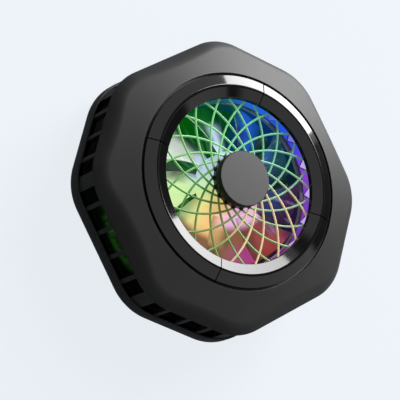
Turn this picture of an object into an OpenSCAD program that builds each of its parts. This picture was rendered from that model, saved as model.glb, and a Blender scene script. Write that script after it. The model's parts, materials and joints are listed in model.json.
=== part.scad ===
// Magnetic phone cooling fan: octagonal housing, thermoelectric plate, finned heat sink and axial fan.
// Millimetres. The origin is the middle of the contact face on the back, and the fan's axis is +Z.

/* [Body] */
// Width across the long flats
body_w = 70; // [68:0.5:80]
// How much further out the short flats stand than the long ones
short_extra = 1.4; // [0:0.1:3]
// Radius of the corners in plan
corner_r = 14.5; // [10:0.5:18]
// Wall of the rear base
base_wall = 1.8; // [1.4:0.1:2.4]
// How far the base rim stands inside the cover's edge
rim_inset = 0.2; // [0:0.1:0.8]
// Height of the base rim behind the vents
rim_h = 3.6; // [3:0.1:4.4]
// How far the back is drawn in from the rim
back_inset = 3.6; // [2:0.1:4.5]
// How far the contact face stands out of the back
contact_h = 0.6; // [0.3:0.1:1]
// Floor above the magnets
floor_t = 1.5; // [1:0.1:2.2]

/* [Vents] */
// Height of the vent band between rim and cover
vent_h = 8.6; // [7.4:0.1:9.2]
// Wall of the vent band
vent_wall = 1.4; // [1:0.1:2]
// How far the vent band is set back from the rim
vent_setback = 0.6; // [0.3:0.1:1]
// Width of a rib between two openings
rib_w = 1.1; // [0.8:0.1:2]
// Ribs on a long flat
ribs_long = 4; // [2:1:5]
// Pitch of the ribs on a long flat
rib_pitch_long = 6.5; // [4:0.1:6.8]
// Ribs on a short flat
ribs_short = 3; // [2:1:4]
// Pitch of the ribs on a short flat
rib_pitch_short = 6.1; // [4:0.1:6.4]
// Width of the opening next to a corner
end_vent_w = 3.8; // [2:0.1:4]
// Height of the strip that closes the openings towards the cover
lintel_h = 1; // [0.6:0.1:2]

/* [Front cover] */
// Height of the cover
cover_h = 6.2; // [5.2:0.1:7.5]
// Thickness of the face
face_t = 1.8; // [1.4:0.1:2.4]
// Wall of the bevelled sides
cover_wall = 1.6; // [1.2:0.1:2]
// Plan width of the bevel where it is bevel_h high
bevel_w = 2.4; // [2:0.1:3]
// Height of the bevel at that width
bevel_h = 4; // [3.6:0.1:4.6]
// Height of the upright skirt behind the bevel
skirt_h = 0.3; // [0.2:0.1:0.6]
// Fall of the face for each millimetre outwards from the bore
face_fall = 0.38; // [0.2:0.02:0.44]
// Thickness of the ledge that carries the trim ring
seat_t = 1.5; // [1:0.1:2.2]
// Wall of the sleeve around the light guide
sleeve_wall = 1.3; // [1:0.1:2]

/* [Trim ring] */
// Radial width of the trim ring
trim_w = 6.15; // [5:0.05:6.8]
// Thickness of the ring at its outer edge
trim_t = 0.85; // [0.6:0.05:1.5]
// Height of the ridge above the face
ridge_h = 1.45; // [0.6:0.05:2.2]
// Distance of the ridge from the inner edge
ridge_in = 3.2; // [2:0.1:4.5]
// Height of the inner edge above the face
lip_h = 0.3; // [0:0.05:0.8]
// Slit between two segments
trim_slit = 0.25; // [0.1:0.05:0.6]
// Groove around the ring
groove_w = 0.4; // [0.2:0.05:0.8]

/* [Light ring and guard] */
// Height of the light guide
guide_h = 3.05; // [2.5:0.05:4]
// Wall of the light guide
guide_w = 1.5; // [1.2:0.1:2]
// Number of light-emitting chips
led_count = 12; // [6:1:18]
// Height of a chip
led_h = 0.8; // [0.5:0.1:1.2]
// Tangential length of a chip
led_l = 2; // [1:0.1:3]
// Radial width of a chip
led_w = 1.2; // [0.8:0.1:1.2]
// Thickness of the circuit boards
board_t = 0.8; // [0.6:0.1:1.2]
// Radial width of the light board
led_board_w = 5.4; // [4:0.1:6]
// Circles that the guard wires follow
guard_circles = 18; // [9:1:20]
// Radius of those circles
guard_circle_r = 24.2; // [22:0.1:27]
// Closest that a guard circle comes to the axis
guard_core_r = 5.1; // [4.6:0.1:5.8]
// Thickness of a guard wire
guard_t = 0.6; // [0.5:0.05:1]
// Wall of the guard's outer band
band_t = 0.5; // [0.4:0.05:0.8]
// Height of the guard's outer band
band_h = 1.8; // [1.2:0.1:2.2]
// Radius of the hub cap
cap_r = 7; // [6:0.1:8]
// Thickness of the hub cap
cap_t = 1.7; // [1:0.1:2.5]
// How far the underside of the cap stands above the face
cap_rise = 0.9; // [0.5:0.1:1.5]
// Radius of the peg under the cap
peg_r = 2; // [1:0.1:3]

/* [Fan] */
// Radius at the blade tips
fan_r = 20.3; // [19:0.1:20.8]
// Running gap at the blade tips
tip_gap = 0.7; // [0.4:0.1:1.2]
// Number of blades
blade_count = 9; // [5:1:11]
// Height of a blade along the axis
blade_h = 4.8; // [3:0.1:5.4]
// Angle that one blade spans about the axis
blade_span = 33; // [20:1:36]
// How far the blade tip leads its root
blade_sweep = 14; // [0:1:24]
// Thickness of a blade
blade_t = 0.9; // [0.6:0.1:1.4]
// Camber of a blade, where 1 is a flat ramp
blade_camber = 1.25; // [1:0.05:1.6]
// Radius of the fan hub
hub_r = 8.2; // [7.6:0.1:9]
// Height of the fan hub
hub_h = 5.6; // [5:0.1:6.4]
// Wall of the fan hub
hub_wall = 1; // [0.8:0.1:1.2]
// Wall of the steel rotor cup
yoke_t = 0.5; // [0.4:0.05:0.7]
// Wall of the ring magnet
rotor_magnet_t = 0.8; // [0.5:0.1:1]
// Air gap between ring magnet and stator
air_gap = 0.35; // [0.3:0.05:0.5]
// Radius of the shaft
shaft_r = 1; // [0.75:0.05:1.2]
// Running clearance of the shaft in its sleeve
shaft_fit = 0.03; // [0.01:0.01:0.1]
// Wall of the bearing sleeve
bearing_t = 0.75; // [0.5:0.05:0.9]
// Wall of the tube that holds the sleeve
holder_t = 0.8; // [0.6:0.1:0.9]
// Stack height of the stator
stator_h = 2; // [1:0.1:2.2]
// Width of a stator arm
arm_w = 1.65; // [1:0.05:1.8]
// Thickness of a pole shoe
shoe_t = 0.85; // [0.5:0.05:1]
// Share of the circle that the pole shoes cover
shoe_cover = 0.8; // [0.5:0.05:0.9]
// Build of the winding on each side of an arm
coil_wall = 0.75; // [0.4:0.05:0.8]
// Thickness of the motor board
motor_board_t = 0.6; // [0.4:0.1:0.8]
// Height of the fan duct
duct_h = 4.4; // [3.5:0.1:5.5]
// Wall of the fan duct
duct_wall = 1.3; // [1:0.1:2]
// Thickness of the spokes and of the motor plate
spider_t = 1; // [0.8:0.1:1.6]
// Width of a spoke
spoke_w = 2.2; // [1.2:0.1:3]

/* [Cooling stack] */
// Radius of the cold plate
plate_r = 21.4; // [20.5:0.1:22.5]
// Thickness of the cold plate
plate_t = 2.6; // [2:0.1:3]
// Height of the block that lifts the cold plate to the module
pedestal_h = 1.6; // [1:0.1:2.4]
// Side of the thermoelectric module
tec_w = 26; // [20:0.5:27]
// Thickness of a ceramic plate
ceramic_t = 0.7; // [0.5:0.1:1]
// Height of the semiconductor pellets
pellet_h = 1.4; // [1:0.1:2]
// Side of one pellet
pellet_w = 2.2; // [1:0.1:2.6]
// Pellets along one side of the module
pellet_rows = 6; // [3:1:7]
// Thickness of a thermal pad
pad_t = 0.2; // [0.1:0.05:0.5]
// Width of the foam frame around the module
foam_w = 3.5; // [2:0.1:4]
// Thickness of the heat sink's base
sink_base_t = 1.6; // [1.2:0.1:2.5]
// Height of the fins
fin_h = 4; // [3:0.1:6]
// Thickness of a fin
fin_t = 0.8; // [0.5:0.1:1]
// Number of fins
fin_count = 40; // [20:1:44]
// Radius where the fins start
fin_r = 9.5; // [8:0.1:14]
// Radius of a lead of the module
lead_r = 0.5; // [0.3:0.05:0.6]
// Distance of each lead from the middle plane
lead_x = 5.5; // [4.5:0.1:8]

/* [Magnet ring] */
// Width of the magnet ring
magnet_w = 4; // [3:0.1:4.5]
// Thickness of the magnets
magnet_t = 2; // [1:0.1:2.4]
// Number of magnets
magnet_count = 16; // [8:1:24]
// Thickness of the silicone pad over the magnets
silicone_t = 1; // [0.7:0.1:1.5]
// Thickness of the steel ring behind the magnets
shunt_t = 0.5; // [0.3:0.1:1]
// Wall between cold plate and magnets
lip_w = 1.2; // [0.8:0.1:1.6]

/* [Socket and board] */
// Width of the power socket's shell
usb_w = 8.94; // [8.5:0.01:9.2]
// Height of the power socket's shell
usb_h = 3.26; // [3:0.01:3.5]
// Length of the power socket's shell
usb_l = 7.35; // [6:0.05:7.6]
// Wall of the shell
usb_wall = 0.3; // [0.2:0.05:0.4]
// Wall of the base around the socket where it stands above the rim
port_wall = 1.2; // [0.8:0.1:1.8]
// Width of the contact tongue
tongue_w = 6.69; // [5:0.01:7]
// Thickness of the contact tongue
tongue_t = 0.7; // [0.5:0.05:0.9]
// Length of the contact tongue
tongue_l = 5.8; // [4:0.1:6]
// Half width of the control board
board_half_w = 8.8; // [7:0.1:8.9]

/* [Screws] */
// Radius of the screw shanks
screw_r = 0.8; // [0.6:0.05:0.9]
// Radius of the screw heads
head_r = 1.6; // [1.2:0.1:1.8]
// Height of the screw heads
head_h = 1.2; // [0.8:0.1:1.5]
// Wall around a screw hole
boss_wall = 1.3; // [1:0.1:1.5]
// Depth that the cover screws reach into the cover
screw_bite = 3; // [2:0.1:3.4]

/* [Clearances] */
// Clearance where a piece drops into its seat
fit = 0.1; // [0.05:0.05:0.2]
// Clearance around a piece that moves or is threaded through
gap = 0.3; // [0.2:0.05:0.5]
// Gap between the rotor and what it passes
run_gap = 0.4; // [0.3:0.05:0.6]

/* [Hidden] */

$fn = 96;
// Overshoot of a cutting shape past the face it cuts
cut = 1;
// Facets in one rounded corner of the housing
corner_steps = 6;
// Trim segments and screws of each kind around the axis
quarters = 4;
// Poles of the stator
poles = 4;
// Cross recess of a screw head, as shares of the head's radius
cross_l = 1.3;
cross_w = 0.25;
// Clearances of a threaded shank and of pieces that are pressed or glued together
thread_fit = fit / 4;
press_gap = fit / 10;

// Heights, from the contact face upwards
z_pad_cold = plate_t + pedestal_h;
z_tec_cold = z_pad_cold + pad_t;
z_pellets = z_tec_cold + ceramic_t;
z_tec_hot = z_pellets + pellet_h;
z_pad_hot = z_tec_hot + ceramic_t;
z_sink = z_pad_hot + pad_t;
z_fins = z_sink + sink_base_t;
z_frame = z_fins + fin_h;
z_motor = z_frame + spider_t;
z_led_board = z_frame + duct_h;
z_leds = z_led_board + board_t;
z_guide = z_leds + led_h + fit;
z_seat = z_guide + guide_h;
z_face = z_seat + trim_t;
z_cover = z_face - cover_h;
z_rim_top = z_cover - vent_h;
z_rim = z_rim_top - rim_h;
z_recess = silicone_t + magnet_t + shunt_t;
z_floor = z_recess + floor_t;
z_rotor = z_motor + motor_board_t + run_gap;
z_hub_top = z_rotor + hub_h;
z_blades = z_motor + gap * 2;
z_cap = z_face + cap_rise;
z_guard = z_seat - fit / 2 - guard_t;
z_band = z_seat - fit / 2 - band_h;

// Radii, from the axis outwards
open_r = fan_r + tip_gap;
duct_r = open_r + duct_wall;
guide_r = open_r + guide_w;
sleeve_r = guide_r + fit;
trim_r = open_r + trim_w;
bore_r = trim_r + groove_w;
led_board_r = open_r + led_board_w;
yoke_r = hub_r - hub_wall;
magnet_ring_r = yoke_r - yoke_t;
stator_r = magnet_ring_r - rotor_magnet_t - air_gap;
bearing_r = shaft_r + shaft_fit + bearing_t;
holder_r = bearing_r + holder_t;
motor_plate_r = hub_r - gap;
motor_board_r = yoke_r + fit;
recess_in = plate_r + fit + lip_w;
recess_out = recess_in + magnet_w + 2 * gap;
boss_r = screw_r + boss_wall;
cover_screw_r = recess_out + boss_wall + head_r - gap;
sink_screw_r = plate_r + fit;
fan_screw_r = duct_r + head_r + gap;
sink_r = fan_screw_r + boss_r - gap;

// Housing outline: distance of flat k from the axis, long flats at even k
function flat_at(k) = body_w / 2 + (k % 2 == 0 ? 0 : short_extra);
function inset_r(inset) = max(corner_r - inset, 1);
function corner(k, inset) =
  let (r = inset_r(inset), a = 45 * k, d = flat_at(k) - inset - r, e = flat_at(k + 1) - inset - r)
  let (s = (e - d * cos(45)) / sin(45))
  [d * cos(a) - s * sin(a), d * sin(a) + s * cos(a)];
function outline_points(inset) = [
  for (k = [0 : 7], i = [0 : corner_steps])
    let (a = 45 * (k + i / corner_steps))
      corner(k, inset) + inset_r(inset) * [cos(a), sin(a)]
];
module outline(inset) { polygon(outline_points(inset)); }

// Closed solid through octagon rings, each given as [inset, height], lowest first
module loft(rings) {
  n = 8 * (corner_steps + 1);
  last = len(rings) - 1;
  points = [for (ring = rings, p = outline_points(ring[0])) [p[0], p[1], ring[1]]];
  sides = [
    for (j = [0 : last - 1], i = [0 : n - 1])
      let (next = (i + 1) % n)
        [j * n + i, (j + 1) * n + i, (j + 1) * n + next, j * n + next]
  ];
  polyhedron(points, concat([[for (i = [0 : n - 1]) i]], sides, [[for (i = [n - 1 : -1 : 0]) last * n + i]]));
}

module tube(r_in, r_out, h) {
  difference() {
    cylinder(h, r = r_out);
    translate([0, 0, -cut]) cylinder(h + 2 * cut, r = r_in);
  }
}

module at_height(z) { translate([0, 0, z]) children(); }

// Copies around the axis, the first one at angle start and distance r
module around(count, r, start = 0) {
  for (i = [0 : count - 1]) rotate(start + i * 360 / count) translate([r, 0, 0]) children();
}

// Pan head with a cross recess, pointing down: the shank runs up from height 0
module screw(length) {
  difference() {
    at_height(-head_h) cylinder(head_h, r = head_r);
    at_height(-head_h) {
      cube([head_r * cross_l, head_r * cross_w, head_h], center = true);
      cube([head_r * cross_w, head_r * cross_l, head_h], center = true);
    }
  }
  cylinder(length, r = screw_r);
}

// A slot with round ends across X, running along Y from 0 to l, standing on height 0
module stadium(w, h, l) {
  side = (w - h) / 2;
  translate([-side, 0, 0]) cube([2 * side, l, h]);
  for (x = [-side, side]) translate([x, 0, h / 2]) rotate([-90, 0, 0]) cylinder(l, d = h);
}

corner_start = 22.5;
sink_fix_start = 0;
fan_fix_start = 45;

// Rear base
vent_outer = rim_inset + vent_setback;
vent_inner = vent_outer + vent_wall;
cavity_inset = rim_inset + base_wall;
// Half the height of the chamfer at the edge of the rim
rim_soft = 0.3;
// The cover screws' heads lie one head height deep in the back
head_floor = contact_h + 2 * head_h;
// The bosses grow out of the middle of the floor
z_boss = z_floor - floor_t / 2;
usb_front = body_w / 2 - rim_inset - fit;
usb_back = usb_front - usb_l;
usb_slot_w = usb_w + 2 * fit;
usb_slot_h = usb_h + 2 * fit;
z_usb_slot = z_floor + board_t - fit;

module vent_openings(flat, ribs, pitch) {
  span = (ribs - 1) * pitch + rib_w + 2 * end_vent_w;
  depth = vent_inner + 3 * vent_wall;
  rotate(45 * flat) translate([flat_at(flat) - vent_inner - 2 * vent_wall, 0, z_rim_top]) difference() {
    translate([0, -span / 2, 0]) cube([depth, span, vent_h - lintel_h]);
    for (i = [0 : ribs - 1])
      translate([-cut, (i - (ribs - 1) / 2) * pitch - rib_w / 2, -cut])
        cube([depth + 2 * cut, rib_w, vent_h + 2 * cut]);
  }
}

module vent_band() {
  difference() {
    at_height(z_rim_top) linear_extrude(vent_h) difference() {
      outline(vent_outer);
      outline(vent_inner);
    }
    for (k = [0 : 2 : 6]) vent_openings(k, ribs_long, rib_pitch_long);
    for (k = [1 : 2 : 7]) vent_openings(k, ribs_short, rib_pitch_short);
  }
}

// The base rises around the power socket, flush with the rim
module port_block() {
  translate([-usb_slot_w / 2 - port_wall, usb_front + fit - base_wall, z_floor])
    cube([usb_slot_w + 2 * port_wall, base_wall, z_usb_slot - z_floor + usb_slot_h + port_wall]);
}

module rear_base() color("#2a2a2c") difference() {
  union() {
    difference() {
      loft([
        [rim_inset + back_inset, contact_h],
        [rim_inset + rim_soft, z_rim - rim_soft],
        [rim_inset, z_rim + rim_soft],
        [rim_inset, z_rim_top]
      ]);
      at_height(z_floor) linear_extrude(z_rim_top) outline(cavity_inset);
    }
    vent_band();
    port_block();
    at_height(z_boss) {
      around(quarters, cover_screw_r, corner_start) cylinder(z_cover - z_boss, r = boss_r);
      around(quarters, sink_screw_r, sink_fix_start) cylinder(z_sink - z_boss, r = boss_r);
    }
  }
  at_height(-cut) cylinder(plate_t + cut, r = plate_r + fit);
  at_height(z_floor / 2 + cut) cube([tec_w + 2 * gap, tec_w + 2 * gap, z_floor], center = true);
  at_height(-cut) tube(recess_in, recess_out, z_recess + cut);
  around(quarters, cover_screw_r, corner_start) {
    at_height(-cut) cylinder(head_floor + cut, r = head_r + fit);
    cylinder(z_cover + cut, r = screw_r + fit);
  }
  around(quarters, sink_screw_r, sink_fix_start) at_height(plate_t + pad_t)
    cylinder(z_sink, r = screw_r + thread_fit);
  translate([0, usb_back, z_usb_slot]) stadium(usb_slot_w, usb_slot_h, usb_l + cut);
}

// Front cover
// Plan width of the bevel if it went on up to the bore's edge
bevel_full = bevel_w * (cover_h - skirt_h) / bevel_h;

// Everything below the sloped face, or below its copy that lies deeper
module below_face(depth) {
  at_height(z_cover - cut)
    cylinder(cover_h - depth + cut, r1 = bore_r + (cover_h - depth + cut) / face_fall, r2 = bore_r);
}

module cover_shell() intersection() {
  loft([
    [0, z_cover],
    [0, z_cover + skirt_h],
    [bevel_full, z_face]
  ]);
  below_face(0);
}

module cover_cavity() intersection() {
  loft([
    [cover_wall, z_cover - cut],
    [cover_wall, z_cover + skirt_h],
    [cover_wall + bevel_full, z_face]
  ]);
  below_face(face_t);
}

module front_cover() color("#2f2f31") difference() {
  union() {
    difference() {
      cover_shell();
      cover_cavity();
    }
    at_height(z_leds) tube(sleeve_r, sleeve_r + sleeve_wall, z_seat - z_leds);
    at_height(z_seat - seat_t) tube(sleeve_r, bore_r + seat_t, seat_t);
    intersection() {
      around(quarters, cover_screw_r, corner_start) at_height(z_cover) cylinder(cover_h, r = boss_r);
      below_face(face_t / 2);
    }
  }
  at_height(z_seat) cylinder(trim_t + cut, r = bore_r);
  at_height(z_cover - cut) cylinder(cover_h + 2 * cut, r = sleeve_r);
  around(quarters, cover_screw_r, corner_start) at_height(z_cover - cut)
    cylinder(screw_bite + gap + cut, r = screw_r + thread_fit);
}

// Trim ring: a roof-shaped ring in four segments
module trim_segment(i) color("#3a3a3d") {
  slit_angle = trim_slit / trim_r * 180 / PI;
  rotate(fan_fix_start + (i - 1) * 360 / quarters + slit_angle / 2)
    rotate_extrude(angle = 360 / quarters - slit_angle) polygon([
      [open_r, z_seat],
      [trim_r, z_seat],
      [trim_r, z_face],
      [open_r + ridge_in, z_face + ridge_h],
      [open_r, z_face + lip_h]
    ]);
}

// Light ring and guard
module light_guide() color("#b9a8f0") difference() {
  at_height(z_guide) tube(open_r, guide_r, guide_h - fit / 2);
  at_height(z_band - fit / 2) cylinder(guide_h, r = open_r + band_t + fit);
}

module fan_guard() color("#8fd694") {
  at_height(z_band) tube(open_r, open_r + band_t, band_h);
  difference() {
    at_height(z_guard) cylinder(z_cap - z_guard, r = cap_r + gap);
    at_height(z_guard + guard_t) cylinder(z_cap, r = peg_r + fit / 2);
  }
  for (i = [0 : guard_circles - 1]) intersection() {
    at_height(z_guard) tube(cap_r, open_r + band_t / 2, guard_t);
    rotate((i + 0.5) * 360 / guard_circles) translate([guard_circle_r - guard_core_r, 0, z_guard - cut])
      tube(guard_circle_r - guard_t / 2, guard_circle_r + guard_t / 2, guard_t + 2 * cut);
  }
}

module hub_cap() color("#6a6a6a") {
  at_height(z_cap) cylinder(cap_t, r = cap_r);
  at_height(z_guard + guard_t + fit) cylinder(z_cap - z_guard - guard_t, r = peg_r);
}

module led_board() color("#f0f0ea") at_height(z_led_board) tube(open_r, led_board_r, board_t);

module leds() color("#fff6d8")
  around(led_count, open_r + guide_w / 2) translate([-led_w / 2, -led_l / 2, z_leds])
    cube([led_w, led_l, led_h]);

// Fan frame: duct, spokes, motor plate and bearing holder
// The bearing holder ends below the rotor cup
holder_h = z_hub_top - hub_wall - yoke_t - run_gap - z_motor;
// Length of a fixing ear, from the middle of the duct's wall to the screw
ear_l = fan_screw_r - duct_r + duct_wall / 2;
// Pocket for the clip in the motor plate
clip_pocket = spider_t * 0.7;
clip_pocket_r = bearing_r - bearing_t / 3;
clip_t = clip_pocket * 0.4;

module fan_frame() color("#202022") difference() {
  union() {
    at_height(z_frame) tube(open_r, duct_r, duct_h);
    at_height(z_led_board - spider_t) tube(open_r, led_board_r, spider_t);
    at_height(z_frame) cylinder(spider_t, r = motor_plate_r);
    around(quarters, motor_plate_r - cut, fan_fix_start) translate([0, -spoke_w / 2, z_frame])
      cube([duct_r - motor_plate_r + cut - duct_wall / 2, spoke_w, spider_t]);
    around(quarters, fan_screw_r, fan_fix_start) at_height(z_frame) {
      cylinder(spider_t, r = boss_r);
      translate([-ear_l, -boss_r, 0]) cube([ear_l, 2 * boss_r, spider_t]);
    }
    at_height(z_motor - fit) cylinder(holder_h + fit, r = holder_r);
  }
  around(quarters, fan_screw_r, fan_fix_start) {
    at_height(z_frame - cut) cylinder(spider_t + 2 * cut, r = screw_r + fit);
    at_height(z_motor) cylinder(duct_h, r = head_r + fit);
  }
  at_height(z_motor) cylinder(hub_h, r = bearing_r + thread_fit);
  at_height(z_motor - clip_pocket) cylinder(clip_pocket + cut, r = clip_pocket_r);
}

module bearing_sleeve() color("#b08d57")
  at_height(z_motor) tube(shaft_r + shaft_fit, bearing_r, holder_h - fit);

z_stator = z_motor + motor_board_t + 2 * run_gap;
arm_in = holder_r + fit / 2;
shoe_in = stator_r - shoe_t;
coil_in = arm_in + arm_w / 2;
shoe_angle = 360 / poles * shoe_cover;

module stator_core() color("#7d7f84") at_height(z_stator) difference() {
  union() {
    cylinder(stator_h, r = coil_in);
    for (i = [0 : poles - 1]) rotate(i * 360 / poles) {
      translate([0, -arm_w / 2, 0]) cube([stator_r - shoe_t / 2, arm_w, stator_h]);
      rotate(-shoe_angle / 2) rotate_extrude(angle = shoe_angle)
        translate([shoe_in, 0]) square([shoe_t, stator_h]);
    }
  }
  at_height(-cut) cylinder(stator_h + 2 * cut, r = arm_in);
}

module stator_coils() color("#b5652b")
  for (i = [0 : poles - 1]) rotate(i * 360 / poles) difference() {
    translate([coil_in, -arm_w / 2 - coil_wall, z_stator - run_gap])
      cube([shoe_in - coil_in - gap, arm_w + 2 * coil_wall, stator_h + 2 * run_gap]);
    translate([0, -arm_w / 2, z_stator]) cube([stator_r, arm_w, stator_h]);
  }

module motor_board() color("#1f5c3a") at_height(z_motor) tube(holder_r + fit, motor_board_r, motor_board_t);

// Rotor
z_yoke_top = z_hub_top - hub_wall;
// Depth of the shaft in the top of the hub
shaft_bite = hub_wall * 0.6;
blade_stations = 5;
blade_points = 6;
// Cross-section of a blade at share s of its length: up one face and back down the other
function blade_ring(s) =
  let (r_in = hub_r - hub_wall / 2, r = r_in + (fan_r - r_in) * s, lead = blade_sweep * s)
  [
    for (j = [0 : 2 * blade_points - 1])
      let (u = (j < blade_points ? j : 2 * blade_points - 1 - j) / (blade_points - 1))
      let (a = lead + blade_span * (u - 0.5), rise = (blade_h - blade_t) * pow(u, blade_camber))
      [r * cos(a), r * sin(a), z_blades + rise + (j < blade_points ? 0 : blade_t)]
  ];

module blade() {
  n = 2 * blade_points;
  points = [for (k = [0 : blade_stations]) each blade_ring(k / blade_stations)];
  sides = [
    for (k = [0 : blade_stations - 1], j = [0 : n - 1], half = [0, 1])
      let (a = k * n + j, b = k * n + (j + 1) % n)
        half == 0 ? [a, a + n, b + n] : [a, b + n, b]
  ];
  strip = [
    for (j = [0 : blade_points - 2], half = [0, 1])
      half == 0 ? [j, j + 1, n - 2 - j] : [j, n - 2 - j, n - 1 - j]
  ];
  far = [for (t = strip) [t[2], t[1], t[0]] + blade_stations * [n, n, n]];
  polyhedron(points, concat(sides, strip, far));
}

module impeller() color("#cfd8ff") difference() {
  union() {
    at_height(z_rotor) cylinder(hub_h, r = hub_r);
    for (i = [0 : blade_count - 1]) rotate(i * 360 / blade_count) blade();
  }
  at_height(z_blades - cut) cylinder(z_yoke_top - z_blades + cut, r = yoke_r);
  at_height(z_yoke_top - cut) cylinder(shaft_bite + cut, r = shaft_r + press_gap);
}

module rotor_yoke() color("#8a8d92") difference() {
  at_height(z_rotor) cylinder(z_yoke_top - z_rotor, r = yoke_r - press_gap);
  at_height(z_rotor - cut) cylinder(z_yoke_top - yoke_t - z_rotor + cut, r = magnet_ring_r);
  at_height(z_rotor) cylinder(hub_h, r = shaft_r + press_gap);
}

module rotor_magnet() color("#3c3c42") at_height(z_rotor)
  tube(magnet_ring_r - rotor_magnet_t, magnet_ring_r - press_gap, z_yoke_top - yoke_t - z_rotor - fit);

module shaft() color("#d5d7da") at_height(z_motor - clip_pocket + fit)
  cylinder(z_yoke_top + shaft_bite - z_motor + clip_pocket - fit, r = shaft_r);

module retaining_clip() color("#c2c4c8") at_height(z_motor - clip_pocket + clip_t)
  tube(shaft_r + press_gap, clip_pocket_r - fit, clip_t);

// Cooling stack
module heat_sink() color("#c9ccd0") difference() {
  union() {
    at_height(z_sink) cylinder(sink_base_t, r = sink_r);
    around(fin_count, fin_r, 180 / fin_count) translate([0, -fin_t / 2, z_fins - fit])
      cube([sink_r - fin_r - fin_t, fin_t, fin_h + fit]);
    around(quarters, fan_screw_r, fan_fix_start) at_height(z_sink)
      cylinder(z_frame - z_sink, r = boss_r - gap);
  }
  around(quarters, fan_screw_r, fan_fix_start) at_height(z_fins)
    cylinder(fin_h + cut, r = screw_r + thread_fit);
  around(quarters, sink_screw_r, sink_fix_start) {
    at_height(z_sink - cut) cylinder(sink_base_t + 2 * cut, r = screw_r + fit);
    at_height(z_fins) cylinder(fin_h + cut, r = head_r + gap);
  }
  translate([-usb_w, usb_back - gap, z_floor]) cube([2 * usb_w, sink_r, board_t + usb_h + gap]);
}

module square_plate(w, z, t) { at_height(z + t / 2) cube([w, w, t], center = true); }

module thermal_pad_hot() color("#a9b3bd") square_plate(tec_w, z_pad_hot, pad_t);
module tec_hot_ceramic() color("#f3f3f0") square_plate(tec_w, z_tec_hot, ceramic_t);
module tec_cold_ceramic() color("#f3f3f0") square_plate(tec_w, z_tec_cold, ceramic_t);
module thermal_pad_cold() color("#a9b3bd") square_plate(tec_w - 2 * fit, z_pad_cold, pad_t);

module tec_pellets() color("#5d6068") {
  pitch = (tec_w - 2 * lead_r) / pellet_rows;
  first = -(pellet_rows - 1) / 2 * pitch - pellet_w / 2;
  for (i = [0 : pellet_rows - 1], j = [0 : pellet_rows - 1])
    translate([first + i * pitch, first + j * pitch, z_pellets]) cube([pellet_w, pellet_w, pellet_h]);
}

module cold_plate() color("#d9dbde") {
  cylinder(plate_t, r = plate_r);
  square_plate(tec_w - 2 * fit, plate_t, pedestal_h);
}

z_leads = z_floor + board_t + lead_r;
lead_end = usb_back + 3 * lead_r;

module lead(x) {
  translate([x, tec_w / 2, z_leads]) rotate([-90, 0, 0]) cylinder(lead_end - tec_w / 2, r = lead_r);
}
module tec_lead_red() color("#b3261e") lead(lead_x);
module tec_lead_black() color("#1a1a1a") lead(-lead_x);

module foam_frame() color("#3a3b3d") difference() {
  square_plate(tec_w + 2 * gap + 2 * foam_w, z_floor, z_sink - z_floor);
  square_plate(tec_w + 2 * gap, z_floor - cut, z_sink - z_floor + 2 * cut);
  for (x = [-lead_x, lead_x]) translate([x - lead_r - fit, 0, z_floor - cut])
    cube([2 * (lead_r + fit), tec_w, z_leads + lead_r + fit - z_floor + cut]);
}

// Magnet ring
module magnets() color("#9a9ca1") {
  seat_r = recess_in + gap;
  slack = gap / seat_r * 180 / PI;
  for (i = [0 : magnet_count - 1]) rotate(i * 360 / magnet_count)
    rotate_extrude(angle = 360 / magnet_count - slack)
      translate([seat_r, silicone_t]) square([magnet_w, magnet_t]);
}
module shunt_ring() color("#85888d") at_height(silicone_t + magnet_t)
  tube(recess_in + fit, recess_out - fit, shunt_t);
module silicone_pad() color("#3b3c40") tube(recess_in + fit, recess_out - fit, silicone_t);

// Control board and power socket
board_y = usb_back - 2 * gap;
module control_board() color("#1f5c3a") translate([-board_half_w, board_y, z_floor])
  cube([2 * board_half_w, body_w / 2 - cavity_inset - 2 * fit - board_y, board_t]);

// The shell is closed at the back by a double wall
usb_back_t = 2 * usb_wall;
// Side of the larger parts on the board
chip_w = 2.8;
module board_components() color("#26262a") translate([0, lead_end + gap, z_floor + board_t]) {
  translate([usb_w / 2 + gap, 0, 0]) cube([chip_w, chip_w, chip_w / 3]);
  translate([-usb_w / 2 - gap - chip_w, 0, 0]) cube([chip_w, chip_w, chip_w / 2]);
}

module usb_shell() color("#c6c9cd") translate([0, usb_back, z_floor + board_t]) difference() {
  stadium(usb_w, usb_h, usb_l);
  translate([0, usb_back_t, usb_wall]) stadium(usb_w - 2 * usb_wall, usb_h - 2 * usb_wall, usb_l);
}

module usb_tongue() color("#1d1d1f")
  translate([-tongue_w / 2, usb_back + usb_back_t, z_floor + board_t + (usb_h - tongue_t) / 2])
    cube([tongue_w, tongue_l, tongue_t]);

// Screws
module cover_screws() color("#55585c")
  around(quarters, cover_screw_r, corner_start) at_height(head_floor)
    screw(z_cover + screw_bite - head_floor);
module sink_screws() color("#8f9296")
  around(quarters, sink_screw_r, sink_fix_start) at_height(z_fins) mirror([0, 0, 1])
    screw(z_fins - plate_t - pad_t - gap);
module fan_screws() color("#8f9296")
  around(quarters, fan_screw_r, fan_fix_start) at_height(z_motor) mirror([0, 0, 1])
    screw(z_motor - z_fins - gap);

rear_base();
front_cover();
trim_segment(1);  // trim_segment_1
trim_segment(2);  // trim_segment_2
trim_segment(3);  // trim_segment_3
trim_segment(4);  // trim_segment_4
light_guide();
fan_guard();
hub_cap();
led_board();
leds();
fan_frame();
bearing_sleeve();
stator_core();
stator_coils();
motor_board();
impeller();
rotor_yoke();
rotor_magnet();
shaft();
retaining_clip();
heat_sink();
thermal_pad_hot();
tec_hot_ceramic();
tec_pellets();
tec_cold_ceramic();
thermal_pad_cold();
cold_plate();
foam_frame();
magnets();
shunt_ring();
silicone_pad();
control_board();
board_components();
usb_shell();
usb_tongue();
cover_screws();
sink_screws();
fan_screws();
tec_lead_red();
tec_lead_black();
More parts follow.
